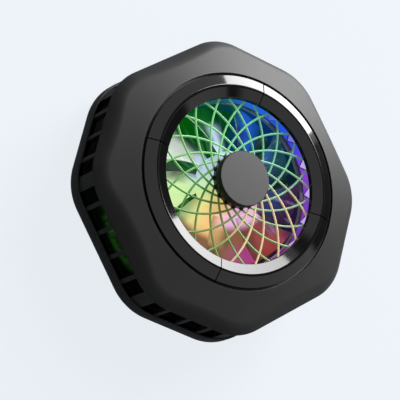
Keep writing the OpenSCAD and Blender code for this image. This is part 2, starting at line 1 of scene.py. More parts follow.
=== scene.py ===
# %% [markdown]
# A magnetic phone cooler, dressed for its portrait. The real object is a palm-sized octagonal puck that
# sticks to the back of a phone: a cold plate takes the heat, a finned sink carries it away, and a small lit
# fan blows it out of the side vents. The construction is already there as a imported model, so this lesson
# only adds what the eye sees: smooth mouldings, a web of guard wires, frosted blades, and a finish for
# every part.

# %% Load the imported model
import json

import bmesh
import bpy
import numpy as np
from mathutils import Matrix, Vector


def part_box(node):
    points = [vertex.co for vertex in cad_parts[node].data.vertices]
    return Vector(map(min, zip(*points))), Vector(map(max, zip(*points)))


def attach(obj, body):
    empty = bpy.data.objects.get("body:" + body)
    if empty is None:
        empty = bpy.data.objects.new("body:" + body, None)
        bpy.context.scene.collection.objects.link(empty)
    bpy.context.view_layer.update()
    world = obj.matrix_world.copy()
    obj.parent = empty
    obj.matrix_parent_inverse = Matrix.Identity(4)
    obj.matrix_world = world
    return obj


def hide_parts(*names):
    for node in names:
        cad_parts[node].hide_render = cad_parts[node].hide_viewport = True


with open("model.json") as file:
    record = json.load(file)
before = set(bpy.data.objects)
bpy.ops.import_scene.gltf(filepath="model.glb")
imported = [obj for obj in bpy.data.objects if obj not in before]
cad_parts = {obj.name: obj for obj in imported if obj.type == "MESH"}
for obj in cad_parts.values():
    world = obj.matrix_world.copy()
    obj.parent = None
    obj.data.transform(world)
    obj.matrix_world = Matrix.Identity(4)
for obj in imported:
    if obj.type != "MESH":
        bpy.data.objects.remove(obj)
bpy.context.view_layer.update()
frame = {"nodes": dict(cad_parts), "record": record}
MM = 0.001

# %% [markdown]
# Every size below is in millimetres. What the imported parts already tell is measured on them: a box gives
# heights, and the reach in one direction gives a flat or a radius. Only what a box can't show, such as a
# fillet, is typed here.

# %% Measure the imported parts


def span(node):
    """Lowest and highest corner of a part, in millimetres."""
    low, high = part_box(node)
    return np.array(low) / MM, np.array(high) / MM


def reach(node, degrees):
    """How far a part goes from the axis in one direction: the largest x cos a + y sin a, in millimetres."""
    vertices = frame["nodes"][node].data.vertices
    flat = np.zeros(len(vertices) * 3, np.float32)
    vertices.foreach_get("co", flat)
    a = np.radians(degrees)
    return float((flat.reshape(-1, 3)[:, :2] @ [np.cos(a), np.sin(a)]).max()) / MM


long_flat = reach("front_cover", 0)
short_flat = reach("front_cover", 45)
rim_inset = long_flat - reach("rear_base", 0)
trim_r = reach("trim_segment_1", 90)
guide_r = reach("light_guide", 0)
cap_r = reach("hub_cap", 0)
fan_r = reach("impeller", 14)
z_cover, z_face = span("front_cover")[0][2], span("front_cover")[1][2]
z_seat, z_ridge = span("trim_segment_1")[0][2], span("trim_segment_1")[1][2]
z_guide = span("light_guide")[0][2]
z_band = span("fan_guard")[0][2]
z_cap_top = span("hub_cap")[1][2]
z_blades, z_hub_top = span("impeller")[0][2], span("impeller")[1][2]
z_leds = span("led_board")[1][2]
print("flats", round(long_flat, 2), round(short_flat, 2))
print("face at", round(z_face, 2), "fan radius", round(fan_r, 2))

# %% [markdown]
# The camera stands where the photograph was taken from: about half a metre away with a long lens, 33
# degrees off the fan's axis, and rolled so that one flat of the octagon points down to the right. Two
# directions fix it: the one that runs to the right in the picture and the one that runs down.

# %% Camera


def stand(obj, x_axis, y_axis, z_axis, place):
    """Puts an object at a place in metres, with its own axes along three directions."""
    columns = np.stack([x_axis, y_axis, z_axis, place], axis=1)
    obj.matrix_world = Matrix(np.vstack([columns, [0, 0, 0, 1]]).tolist())


camera_place = np.array([-11.056, -280.134, 426.436])
picture_right = np.array([0.42736, 0.74839, 0.50723])
picture_down = np.array([0.90380, -0.36778, -0.21884])
camera_data = bpy.data.cameras.new("camera")
camera_data.sensor_width = 36
camera_data.lens = 180
camera_data.clip_start = 0.01
camera = bpy.data.objects.new("camera", camera_data)
bpy.context.scene.collection.objects.link(camera)
stand(camera, picture_right, -picture_down, -np.cross(picture_right, picture_down), camera_place * MM)
bpy.context.scene.camera = camera
print("camera at", camera_place, "mm")

# %% [markdown]
# A piece is a skin of quads over a grid of points, worked out as whole arrays. One helper turns grids into
# faces, and one puts the result into a mesh, turns the normals outwards, and marks the edges that stay
# sharp.

# %% Skins and pieces


def skin(points, close_rows=False, close_columns=True, caps=False):
    """Quads over a grid (rows, columns, 3): each joins (i, j), (i, j+1), (i+1, j+1) and (i+1, j). Closing
    repeats the first row or column at the end, and caps close the first and the last row with one flat face
    each."""
    rows, columns = points.shape[:2]
    index = np.arange(rows * columns).reshape(rows, columns)
    if close_rows:
        index = np.concatenate([index, index[:1]])
    if close_columns:
        index = np.concatenate([index, index[:, :1]], axis=1)
    corners = [index[:-1, :-1], index[:-1, 1:], index[1:, 1:], index[1:, :-1]]
    faces = np.stack(corners, -1).reshape(-1, 4).tolist()
    if caps:
        faces += [index[0, :columns].tolist(), index[-1, :columns].tolist()]
    return points.reshape(-1, 3), faces


def mesh_from(name, skins):
    """One mesh out of several skins, in metres, with outward normals."""
    vertices, faces, start = [], [], 0
    for points, quads in skins:
        vertices.append(points)
        faces += [[start + i for i in face] for face in quads]
        start += len(points)
    mesh = bpy.data.meshes.new(name)
    mesh.from_pydata(np.concatenate(vertices) * MM, [], faces)
    work = bmesh.new()
    work.from_mesh(mesh)
    bmesh.ops.recalc_face_normals(work, faces=work.faces)
    work.to_mesh(mesh)
    work.free()
    return mesh


def smooth(mesh, sharp):
    """Smooth shading, with the edges that turn by more than sharp degrees left sharp."""
    mesh.polygons.foreach_set("use_smooth", np.ones(len(mesh.polygons), bool))
    mesh.set_sharp_from_angle(angle=np.radians(sharp))


def piece(name, skins, material, nodes=(), body="housing", sharp=35, carve=None):
    """A visible piece that rides on a body, and stands for CAD nodes where it names them. carve is a list
    of closed skins that are cut out of it."""
    obj = bpy.data.objects.new(name, mesh_from(name, skins))
    bpy.context.scene.collection.objects.link(obj)
    if carve:
        cutter = bpy.data.objects.new("cutter", mesh_from("cutter", carve))
        bpy.context.scene.collection.objects.link(cutter)
        cut = obj.modifiers.new("cut", "BOOLEAN")
        cut.object = cutter
        cut.solver = "EXACT"
        evaluated = obj.evaluated_get(bpy.context.evaluated_depsgraph_get())
        carved = bpy.data.meshes.new_from_object(evaluated)
        obj.modifiers.clear()
        obj.data = carved
        bpy.data.objects.remove(cutter)
    smooth(obj.data, sharp)
    obj.data.materials.clear()
    obj.data.materials.append(material)
    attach(obj, body)
    if nodes:
        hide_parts(*nodes)
    print(name, len(obj.data.vertices), "vertices")
    return obj


# %% [markdown]
# Moulded corners are never razor sharp. A chain of straight lines gets its corners rounded by a short curve
# at each one, so a few points describe a whole profile. Round parts are such a profile turned about the
# axis.

# %% Profiles


def soften(corners, cut, steps=5, hold=0):
    """Rounds an open chain: each inner corner becomes the curve (1-t)^2 a + 2t(1-t) corner + t^2 b, where a
    and b lie cut millimetres before and after the corner. With hold, one more point on each side, that many
    millimetres further out, keeps the straight runs flat in smooth shading."""
    p = np.asarray(corners, float)
    size = np.broadcast_to(np.asarray(cut, float), len(p) - 2)[:, None]
    back, onward = p[:-2] - p[1:-1], p[2:] - p[1:-1]
    back, onward = [run / np.linalg.norm(run, axis=1)[:, None] for run in (back, onward)]
    a, b = p[1:-1] + back * size, p[1:-1] + onward * size
    t = np.linspace(0, 1, steps)[None, :, None]
    curve = (1 - t) ** 2 * a[:, None] + 2 * t * (1 - t) * p[1:-1, None] + t**2 * b[:, None]
    if hold:
        curve = np.concatenate([(a + back * hold)[:, None], curve, (b + onward * hold)[:, None]], axis=1)
    return np.concatenate([p[:1], curve.reshape(-1, 2), p[-1:]])


def turned(profile, angles):
    """Carries a profile of (radius, height) round the axis: (r cos a, r sin a, z) for each angle."""
    r, z = profile[:, 0, None], profile[:, 1, None]
    return np.stack([r * np.cos(angles), r * np.sin(angles), z + 0 * angles], -1)


def full_turn(count):
    """Evenly spread angles over one turn, without repeating the first."""
    return np.arange(count) * 2 * np.pi / count


# %% [markdown]
# Shaders are sums and products of patterns, so they read best as arithmetic. The class below wraps one
# socket of a node: adding or multiplying it adds a Math node, and a single method makes any other kind of
# node.

# %% Shader arithmetic


class Shade:
    """One output socket of a shader node, with arithmetic."""

    def __init__(self, tree, socket=None):
        self.tree = tree
        self.socket = socket

    def node(self, kind, settings=None, inputs=None, out=0):
        """Adds a node: its settings first, a ramp's stops among them, then the values or links of its
        sockets."""
        made = self.tree.nodes.new("ShaderNode" + kind)
        for key, value in (settings or {}).items():
            if key == "stops":
                self.fill_ramp(made.color_ramp, value)
            else:
                setattr(made, key, value)
        for key, value in (inputs or {}).items():
            if isinstance(value, Shade):
                self.tree.links.new(value.socket, made.inputs[key])
            else:
                made.inputs[key].default_value = value
        return Shade(self.tree, made.outputs[out] if made.outputs else None)

    @staticmethod
    def fill_ramp(ramp, stops):
        """Places (position, colour) stops on a ramp, which starts with two."""
        while len(ramp.elements) < len(stops):
            ramp.elements.new(0.5)
        for element, (position, colour) in zip(ramp.elements, sorted(stops)):
            element.position = position
            element.color = (*colour, 1)

    def maths(self, operation, a, b=0.0):
        return self.node("Math", {"operation": operation}, {0: a, 1: b})

    def __add__(self, other):
        return self.maths("ADD", self, other)

    def __sub__(self, other):
        return self.maths("SUBTRACT", self, other)

    def __rsub__(self, other):
        return self.maths("SUBTRACT", other, self)

    def __mul__(self, other):
        return self.maths("MULTIPLY", self, other)

    def __pow__(self, other):
        return self.maths("POWER", self, other)

    __radd__ = __add__
    __rmul__ = __mul__

    def step(self, low, high):
        """0 below low, 1 above high and a smooth ramp between."""
        sockets = {"Value": self, "From Min": low, "From Max": high}
        return self.node("MapRange", {"interpolation_type": "SMOOTHSTEP"}, sockets)

    def mix(self, a, b):
        """A colour between a and b, by this factor."""
        return self.node("Mix", {"data_type": "RGBA"}, {0: self, 6: a, 7: b}, out=2)


def rgb(red, green, blue):
    """A colour socket's four numbers."""
    return (red, green, blue, 1)


# %% [markdown]
# All finishes start alike: object coordinates, a Principled shader and an output. What is the same all over
# goes straight onto the shader's sockets, and a small function gives the sockets that change over the
# surface.

# %% Finishes


def finish(name, paint, **constants):
    """A material. paint(place) returns the sockets that vary, and the constants are sockets such as
    coat_weight=0.3."""
    material = bpy.data.materials.new(name)
    material.use_nodes = True
    tree = material.node_tree
    tree.nodes.clear()
    place = Shade(tree).node("TexCoord", out="Object")
    sockets = {key.replace("_", " ").title().replace("Ior", "IOR"): value for key, value in constants.items()}
    sockets.update(paint(place))
    surface = place.node("BsdfPrincipled", inputs=sockets)
    place.node("OutputMaterial", inputs={"Surface": surface})
    return material


def noise(place, size, detail=2.0):
    """Soft noise from 0 to 1 whose blobs are about size millimetres wide."""
    return place.node("TexNoise", inputs={"Vector": place, "Scale": 1 / (size * MM), "Detail": detail})


def bumps(place, rise, depth):
    """A normal that rises by depth millimetres where rise is 1."""
    sockets = {"Height": rise, "Distance": depth * MM, "Strength": 1.0}
    return place.node("Bump", inputs=sockets, out="Normal")


def radius(place):
    """Distance from the axis, in millimetres."""
    parts = [place.node("SeparateXYZ", inputs={0: place}, out=axis) for axis in "XY"]
    return (parts[0] * parts[0] + parts[1] * parts[1]) ** 0.5 * (1 / MM)


def height(place):
    """Height above the contact face, in millimetres."""
    return place.node("SeparateXYZ", inputs={0: place}, out="Z") * (1 / MM)


def around_axis(place):
    """Angle about the axis as a share of one turn, 0 and 1 at the angle of -180 degrees."""
    x, y = [place.node("SeparateXYZ", inputs={0: place}, out=axis) for axis in "XY"]
    return place.maths("ARCTAN2", y, x) * (0.5 / np.pi) + 0.5


def by_angle(place, colours):
    """Colours at given angles, in degrees from -180 to 180, blended round the axis."""
    stops = [((degrees + 180) / 360, colour) for degrees, colour in colours]
    return place.node("ValToRGB", {"stops": stops}, {0: around_axis(place)})


# %% [markdown]
# The housing is moulded in black plastic with a fine spark-eroded grain. It is matte to the touch, yet a
# large soft light still spreads over it as a broad sheen, so the grain is a very shallow bump and the
# roughness is middling. The rear base is of a duller batch, and a little green light from inside is painted
# on its floor as a glow.

# %% Housing plastic


def paint_housing(place):
    grain = noise(place, 0.22)
    cloud = noise(place, 9.0)
    shade = cloud.step(0.3, 0.7)
    return {
        "Base Color": shade.mix(rgb(0.007, 0.007, 0.0075), rgb(0.010, 0.010, 0.0105)),
        "Roughness": 0.53 + 0.05 * grain + 0.03 * cloud,
        "Normal": bumps(place, grain, 0.004),
    }


housing_plastic = finish("housing_plastic", paint_housing, specular_ior_level=0.42)


def paint_tray(place):
    """Black plastic. The floor inside has a little green light painted on it as a patchy glow, which shows
    through the vents on one side."""
    grain = noise(place, 0.3)
    dark = (0, 0, 0)
    leak_hues = [(-180, dark), (-110, dark), (-101, (0.009, 0.048, 0.006)), (-78, (0.008, 0.040, 0.006)),
                 (-69, dark), (180, dark)]
    # Painted light: a patchy green glow on the floor inside, standing in for lamp light that leaks from
    # inside.
    floor_part = height(place).step(4.2, 4.8) * (1 - radius(place).step(28.6, 30.6))
    painted_green_light = floor_part * (0.25 + 0.75 * noise(place, 1.6).step(0.35, 0.62))
    return {
        "Base Color": grain.mix(rgb(0.008, 0.008, 0.0085), rgb(0.013, 0.013, 0.0135)),
        "Emission Color": painted_green_light.mix(rgb(*dark), by_angle(place, leak_hues)),
        "Roughness": 0.44 + 0.1 * grain,
        "Normal": bumps(place, grain, 0.006),
    }


tray_plastic = finish("tray_plastic", paint_tray, specular_ior_level=0.3, emission_strength=1.0)
print(housing_plastic.name, "and", tray_plastic.name)

# %% [markdown]
# The housing's outline is an octagon with rounded corners whose short flats stand a little further out. A
# ring of points at any inset from that outline is eight arcs joined by straight flats. A skin through such
# rings, each with its own inset and height, is a bevelled shell with no facets.

# %% Housing outline
corner_r = 14.5


def octagon(inset, arc_points=13, flat_points=7):
    """Rounded octagon at an inset. Corner k has its centre where the lines of two neighbouring flats, moved
    in by the corner radius, meet, and its arc turns from the direction of one flat to that of the next."""
    k = np.arange(8)[:, None]
    r = max(corner_r - inset, 1.0)
    a = np.radians(45.0 * k)
    near = np.where(k % 2, short_flat, long_flat) - inset - r
    far = np.roll(near, -1, axis=0)
    slide = (far - near * np.cos(np.pi / 4)) / np.sin(np.pi / 4)
    centre = np.stack([near * np.cos(a) - slide * np.sin(a), near * np.sin(a) + slide * np.cos(a)], -1)
    turn = a + np.linspace(0, np.pi / 4, arc_points)
    arcs = centre + r * np.stack([np.cos(turn), np.sin(turn)], -1)
    ends, starts = arcs[:, -1:], np.roll(arcs[:, :1], -1, axis=0)
    share = (np.arange(1, flat_points + 1) / (flat_points + 1))[None, :, None]
    return np.concatenate([arcs, ends + (starts - ends) * share], axis=1).reshape(-1, 2)


ring_angles = np.arctan2(*octagon(0).T[::-1])


def octagon_rows(chain):
    """Octagon rings for a chain of (inset, height)."""
    return np.stack([np.c_[octagon(inset), np.full(len(ring_angles), z)] for inset, z in chain])


def circle_rows(chain):
    """Round rings for a chain of (radius, height), with their points at the octagon's own angles."""
    return turned(np.asarray(chain, float), ring_angles)


print("outline has", len(ring_angles), "points")

# %% [markdown]
# The front cover has a shallow cone for a face. It falls outwards from the round bore until it meets a
# narrow, steep bevel over a short skirt. The height at each point is the lower of cone and bevel, blended
# so that the edge is soft. The skin runs from the sleeve inside the bore over the face, and back along the
# inside, so the shell is closed.

# %% Front cover
bevel_w, bevel_h, skirt_h = 2.4, 4.0, 0.3
face_slope, edge_soft = 0.38, 1.5
face_t, cover_wall = 1.8, 1.6
groove_w, seat_t = 0.4, 1.5
sleeve_r, sleeve_wall = guide_r + 0.1, 1.3
bore_r, bore_lip = trim_r + groove_w, 0.4


def cone(r):
    """Height of the face, which falls outwards from the bore."""
    return z_face - face_slope * (r - bore_r)


def lower_of(a, b, soft):
    """The lower of two heights, blended where they differ by less than soft."""
    h = np.clip(0.5 + 0.5 * (b - a) / soft, 0, 1)
    return b + (a - b) * h - soft * h * (1 - h)


face_reach, face_rings = 5.6, 26
insets = np.r_[0.0, 0.35, np.linspace(0.9, face_reach, face_rings)]
top = np.stack([octagon(i) for i in insets])
bevel = z_cover + skirt_h + bevel_h / bevel_w * insets[:, None]
top_z = lower_of(bevel, cone(np.hypot(top[..., 0], top[..., 1])), edge_soft)
top_rows = np.concatenate([top, top_z[..., None]], axis=-1)[::-1]
bore_chain = soften(
    [
        (sleeve_r, z_leds),
        (sleeve_r, z_seat),
        (bore_r, z_seat),
        (bore_r, z_face),
        (bore_r + bore_lip, cone(bore_r + bore_lip)),
    ],
    [0.1, 0.1, 0.05],
)
side_chain = soften(
    [
        (0.01, z_cover + skirt_h),
        (0, z_cover),
        (cover_wall, z_cover),
        (cover_wall, z_cover + skirt_h + 0.6),
        (bevel_w + cover_wall, z_face - 2 * face_t),
    ],
    [0.15, 0.1, 0.1],
)
under_chain = [
    (bore_r + seat_t, z_face - 1.4 * face_t),
    (bore_r + seat_t, z_seat - seat_t),
    (sleeve_r + sleeve_wall, z_seat - seat_t),
    (sleeve_r + sleeve_wall, z_leds),
]
cover_rows = np.concatenate(
    [circle_rows(bore_chain), top_rows[:-1], octagon_rows(side_chain), circle_rows(under_chain)]
)
cover_skin = skin(cover_rows, close_rows=True)
piece("cover_shell", [cover_skin], housing_plastic, ["front_cover"])

# %% [markdown]
# The rear base is a tray. Its back is drawn in towards the phone, with a round seat for the cold plate and
# a ring recess for the magnets.

# %% Rear base
back_inset, contact_h = 3.6, 0.6
base_wall = 1.8
z_rim, z_rim_top, z_floor = 4.6, 8.2, 5.0
plate_r = reach("cold_plate", 0) + 0.1
plate_t, module_r, z_recess = 2.6, 19.0, 3.5
recess_edge = 0.15
recess_in, recess_out = plate_r + 1.2, reach("shunt_ring", 0) + 0.1
tray_side = soften(
    [
        (back_inset + rim_inset + 1.2, contact_h),
        (back_inset + rim_inset, contact_h),
        (rim_inset, z_rim),
        (rim_inset, z_rim_top),
        (rim_inset + base_wall, z_rim_top),
        (rim_inset + base_wall, z_floor),
    ],
    [0.8, 1.0, 0.35, 0.2],
)
tray_inside = [
    (module_r, z_floor),
    (module_r, plate_t),
    (plate_r, plate_t),
    (plate_r, contact_h),
    (recess_in, contact_h),
    (recess_in, z_recess),
    (recess_out, z_recess),
    (recess_out, contact_h + recess_edge),
    (recess_out + recess_edge, contact_h),
]
tray_rows = np.concatenate([octagon_rows(tray_side), circle_rows(tray_inside)])
print("tray has", len(tray_rows), "rings")

# %% [markdown]
# Closed skins also serve as cutters. Screw pockets and the slot of the power socket are cut out of the
# tray. Four posts stand in it for the cover's screws, and around the socket a small frame rises above the
# rim.

# %% Screws and socket


def upright(x, y, r, low, high, points=40):
    """A closed upright cylinder."""
    grid = turned(np.array([(r, low), (r, high)]), full_turn(points))
    return skin(grid + [x, y, 0], caps=True)


def slot(width, thick, middle, front, back, points=20):
    """A closed slot along Y with round ends: two half circles of the thickness, apart by the rest of the
    width."""
    turn = np.radians(np.concatenate([np.linspace(-90, 90, points), np.linspace(90, 270, points)]))
    apart = np.where(np.arange(2 * points) < points, 1, -1) * (width - thick) / 2
    x = np.cos(turn) * thick / 2 + apart
    z = middle + np.sin(turn) * thick / 2
    return skin(np.stack([np.stack([x, np.full_like(x, y), z], -1) for y in (front, back)]), caps=True)


screw_r, screw_start = 29.9, 22.5
pocket_r, pocket_h = 1.7, 3.0
post_r, z_post = 2.1, 4.4
screw_turns = np.radians(screw_start + 90 * np.arange(4))
screw_spots = screw_r * np.stack([np.cos(screw_turns), np.sin(screw_turns)], -1)
pockets = [upright(x, y, pocket_r, -1, pocket_h) for x, y in screw_spots]
posts = [upright(x, y, post_r, z_post, z_cover) for x, y in screw_spots]
usb_gap, port_wall, port_proud = 0.2, 1.3, 0.04
usb_low, usb_high = span("usb_shell")
usb_w, usb_h = usb_high[0] * 2, usb_high[2] - usb_low[2]
usb_cut = slot(usb_w + usb_gap, usb_h + usb_gap, (usb_low[2] + usb_high[2]) / 2, usb_low[1], 40)
port_half, port_low, port_top = usb_high[0] + port_wall, z_floor - 0.5, usb_high[2] + port_wall
port_chain = soften(
    [(-port_half, port_low), (-port_half, port_top), (port_half, port_top), (port_half, port_low)],
    0.4,
)
port_face = long_flat - rim_inset + port_proud
port_rows = np.stack([np.insert(port_chain, 1, y, axis=1) for y in (port_face - base_wall, port_face)])
tray_skin = skin(tray_rows, close_rows=True)
piece("base_tray", [tray_skin], tray_plastic, ["rear_base"], carve=pockets + [usb_cut])
piece("port_frame", [skin(port_rows, caps=True)], tray_plastic, carve=[usb_cut])
piece("screw_posts", posts, tray_plastic)

# %% [markdown]
# Between the tray and the cover runs a band of vents, set back a little. Warm air leaves here. The band is
# one octagonal wall, and the openings are boxes cut through it, laid out along each flat between the ribs.

# %% Vent band
vent_out, vent_in = rim_inset + 0.6, rim_inset + 2.0
lintel_h, rib_w, end_vent_w = 1.0, 1.1, 3.8
rib_layout = [(4, 6.5), (3, 6.1)]
cut_in, cut_out = 6, 1
z_band_low = z_rim_top - 0.4
band_chain = [(vent_in, z_band_low), (vent_out, z_band_low), (vent_out, z_cover), (vent_in, z_cover)]
vent_rows = octagon_rows(band_chain)


def vent_box(flat, middle, width):
    """A box through the band: along the flat it spans width about middle, and it goes through the wall."""
    a = np.radians(45 * flat)
    out = short_flat if flat % 2 else long_flat
    x = np.array([out - cut_in, out + cut_out])[[0, 1, 1, 0]]
    y = middle + width / 2 * np.array([-1, -1, 1, 1])
    plan = np.stack([x * np.cos(a) - y * np.sin(a), x * np.sin(a) + y * np.cos(a)], -1)
    levels = (z_rim_top, z_cover - lintel_h)
    return skin(np.stack([np.c_[plan, np.full(4, z)] for z in levels]), caps=True)


def flat_vents(flat, ribs, pitch):
    """The openings of one flat: one between each pair of ribs and a narrow one past the last rib on each
    side."""
    between = [((i - (ribs - 2) / 2) * pitch, pitch - rib_w) for i in range(ribs - 1)]
    edge = (ribs - 1) / 2 * pitch + rib_w / 2 + end_vent_w / 2
    return [vent_box(flat, m, w) for m, w in between + [(-edge, end_vent_w), (edge, end_vent_w)]]


openings = []
for flat in (0, 2, 4, 6, 1, 3, 5, 7):
    openings += flat_vents(flat, *rib_layout[flat % 2])
piece("vent_band", [skin(vent_rows, close_rows=True)], tray_plastic, carve=openings)
print(len(openings), "vent openings")

# %% [markdown]
# The trim ring is a glossy black and comes in four quarters with a hair of a gap between them. Its section
# is a low roof: an outer slope up from the groove, a narrow flat along the ridge, and an inner slope down
# to the fan opening. Gloss on a dark ground shows the studio's lights as hard bands, so the slopes have to
# shade as true flats.

# %% Trim ring


def paint_trim(place):
    streak_and_glint = noise(place, 3.0)
    return {
        "Base Color": streak_and_glint.mix(rgb(0.003, 0.003, 0.0033), rgb(0.005, 0.005, 0.0055)),
        "Roughness": 0.06 + 0.04 * streak_and_glint,
        "Normal": bumps(place, noise(place, 0.5), 0.0006),
    }


trim_gloss = finish("trim_gloss", paint_trim, specular_ior_level=0.43)
guide_wall, inner_w = 1.5, 3.2
ridge_flat, lip_h, trim_slit, trim_gap = 0.6, 0.3, 0.3, 0.3
open_r = guide_r - guide_wall
ridge_r, edge_r = open_r + inner_w, trim_r - trim_gap
outer_slope = (z_ridge - z_face) / (trim_r - ridge_r)
inner_slope = (z_ridge - z_face - lip_h) / inner_w
trim_chain = soften(
    [
        (open_r + 2, z_seat),
        (edge_r, z_seat),
        (edge_r, z_ridge - outer_slope * (edge_r - ridge_r)),
        (ridge_r, z_ridge),
        (ridge_r - ridge_flat, z_ridge),
        (open_r, z_ridge - inner_slope * (ridge_r - ridge_flat - open_r)),
        (open_r, z_seat),
        (open_r + 1.5, z_seat),
    ],
    [0.1, 0.1, 0.1, 0.1, 0.14, 0.1],
    steps=6,
    hold=0.05,
)


def trim_quarter(number):
    """The section carried over a quarter turn, less half a slit at each end."""
    half_slit = trim_slit / 2 / trim_r
    start = np.pi / 4 + (number - 1) * np.pi / 2
    grid = turned(trim_chain, start + np.linspace(half_slit, np.pi / 2 - half_slit, 64))
    return skin(np.swapaxes(grid, 0, 1), caps=True)


for number in range(1, 5):
    segment = f"trim_segment_{number}"
    piece(f"trim_quarter_{number}", [trim_quarter(number)], trim_gloss, [segment], sharp=28)

# %% [markdown]
# A milky ring lines the opening and carries the light of twelve small lamps. Each side of the ring has its
# own hue, so its glow is a colour that runs round the axis. On the far side, reflections of the guard wires on
# its glossy wall are painted on as a row of pale triangles with dark edges.

# %% Light guide
guide_hues = [
    (-180, (0.00, 0.16, 0.10)),
    (-90, (0.02, 0.20, 0.03)),
    (-45, (0.20, 0.10, 0.04)),
    (-20, (0.16, 0.02, 0.14)),
    (15, (0.12, 0.02, 0.24)),
    (50, (0.20, 0.04, 0.52)),
    (75, (0.28, 0.05, 0.66)),
    (92, (0.06, 0.05, 0.80)),
    (110, (0.01, 0.08, 0.80)),
    (135, (0.01, 0.14, 0.62)),
    (160, (0.00, 0.10, 0.24)),
    (180, (0.00, 0.16, 0.10)),
]
lit_h, reflection_count, reflection_rise = 2.6, 18, 4.9


def paint_guide(place):
    hue = by_angle(place, guide_hues)
    turn = around_axis(place)
    level = (height(place) - (z_seat - lit_h)) * (1 / lit_h)
    # Painted reflections of the guard wires on the glossy wall, on the far side only: pale triangles edged by
    # dark lines.
    reflection_zigzag = place.maths("ABSOLUTE", place.maths("FRACT", turn * reflection_count + 0.5) - 0.5) * reflection_rise
    side = turn.step(0.48, 0.55) * (1 - turn.step(0.80, 0.86))
    inside = (level - reflection_zigzag).step(-0.05, 0.05) * side * (1 - 0.7 * turn.step(0.72, 0.78))
    line = (1 - place.maths("ABSOLUTE", level - reflection_zigzag).step(0.09, 0.18)) * side
    lit = level.step(-0.08, 0.1).mix(rgb(0.008, 0.004, 0.03), hue)
    wire_reflections = (0.8 * inside).mix(lit, rgb(0.68, 0.54, 0.96))
    return {
        "Base Color": (noise(place, 1.2) * 0.3).mix(rgb(0.05, 0.04, 0.10), rgb(0.12, 0.10, 0.20)),
        "Emission Color": (0.95 * line).mix(wire_reflections, rgb(0.004, 0.004, 0.05)),
        "Roughness": 0.16 + 0.1 * noise(place, 0.6),
    }


guide_plastic = finish("guide_plastic", paint_guide, emission_strength=0.9, coat_weight=0.3)
z_guide_top = z_seat - 0.05
guide_chain = soften(
    [
        (open_r + 0.8, z_guide),
        (guide_r, z_guide),
        (guide_r, z_guide_top),
        (open_r, z_guide_top),
        (open_r, z_guide),
        (open_r + 0.6, z_guide),
    ],
    0.12,
)
guide_skin = skin(turned(guide_chain, full_turn(144)), close_rows=True)
piece("light_ring", [guide_skin], guide_plastic, ["light_guide"])

# %% [markdown]
# The guard over the fan is a web of thin wires. Eighteen circles, each passing close to the hub, give two
# branches each, and together the branches cross in the diamonds of the photograph. The web lies flat, just
# below the trim.

# %% Guard
# The wires' colours are painted light: each wire glows with the colour of the lamps nearest to it.
guard_lamp_glow = [
    (-180, (0.20, 0.56, 0.21)),
    (-135, (0.15, 0.40, 0.12)),
    (-95, (0.07, 0.21, 0.04)),
    (-60, (0.16, 0.24, 0.06)),
    (-30, (0.18, 0.30, 0.08)),
    (10, (0.17, 0.31, 0.10)),
    (45, (0.20, 0.36, 0.20)),
    (90, (0.15, 0.43, 0.26)),
    (130, (0.12, 0.44, 0.24)),
    (180, (0.20, 0.56, 0.21)),
]
warm_lamp_light = rgb(0.66, 0.53, 0.29)


def paint_guard(place):
    family = place.node("Attribute", {"attribute_name": "family"}, out="Fac")
    turn = around_axis(place)
    # Painted warm light falls on one family of wires over part of the turn.
    warm = (1 - family) * turn.step(0.36, 0.45) * (1 - turn.step(0.60, 0.72))
    lit = warm.mix(by_angle(place, guard_lamp_glow), warm_lamp_light)
    # Painted shade: under the hub cap the wires and the post are dark.
    hue = radius(place).step(cap_r + 0.1, cap_r + 0.5).mix(rgb(0.003, 0.006, 0.003), lit)
    return {
        "Base Color": hue,
        "Emission Color": hue,
        "Roughness": 0.25 + 0.1 * noise(place, 1.0),
    }


guard_plastic = finish("guard_plastic", paint_guard, emission_strength=0.36, specular_ior_level=0.3)
circle_count, circle_r, core_r = 18, 24.2, 5.1
wire_w, wire_h, family_lift = 0.56, 0.5, 0.04
z_web, cap_t = z_seat - 0.35, 1.7
post_inset, post_foot, axis_r = 0.25, 1.3, 1.0


def wire_lines(side, points=34):
    """Middle lines of one family. A circle of radius R whose centre lies D from the axis is at distance r
    from the axis where cos of the angle to its centre is (r^2 + D^2 - R^2) / (2 r D)."""
    r = np.linspace(cap_r - 0.6, open_r + 0.3, points)
    d = circle_r - core_r
    away = np.arccos(np.clip((r**2 + d**2 - circle_r**2) / (2 * r * d), -1, 1))
    a = full_turn(circle_count)[:, None] + np.pi / circle_count + side * away
    return np.stack([r * np.cos(a), r * np.sin(a), z_web + side * family_lift + 0 * a], -1)


def wire_tubes(lines, ring=10):
    """Carries an ellipse along each line: across it lies flat, square to the line, and up is the axis."""
    ahead = np.gradient(lines, axis=1)
    across = np.cross([0, 0, 1.0], ahead)
    across /= np.linalg.norm(across, axis=-1, keepdims=True)
    t = full_turn(ring)[:, None]
    flat = np.cos(t) * across[:, :, None] * wire_w / 2
    return lines[:, :, None] + flat + np.sin(t) * np.array([0, 0, wire_h / 2])


tubes = [wire_tubes(wire_lines(side)) for side in (1, -1)]
wire_skins = [skin(tube, caps=True) for group in tubes for tube in group]
z_post_foot, z_cap = z_band + post_foot, z_cap_top - cap_t
guard_post_r = cap_r - post_inset
post_chain = soften(
    [(axis_r, z_post_foot), (guard_post_r, z_post_foot), (guard_post_r, z_cap), (axis_r, z_cap)], 0.15
)
post_skin = skin(turned(post_chain, full_turn(96)), caps=True)
guard = piece("guard_web", wire_skins + [post_skin], guard_plastic, ["fan_guard"])
group_size = tubes[0].size // 3
second = np.zeros(len(guard.data.vertices), np.float32)
second[group_size:2 * group_size] = 1
guard.data.attributes.new("family", "FLOAT", "POINT").data.foreach_set("value", second)
print(len(wire_skins), "wires")

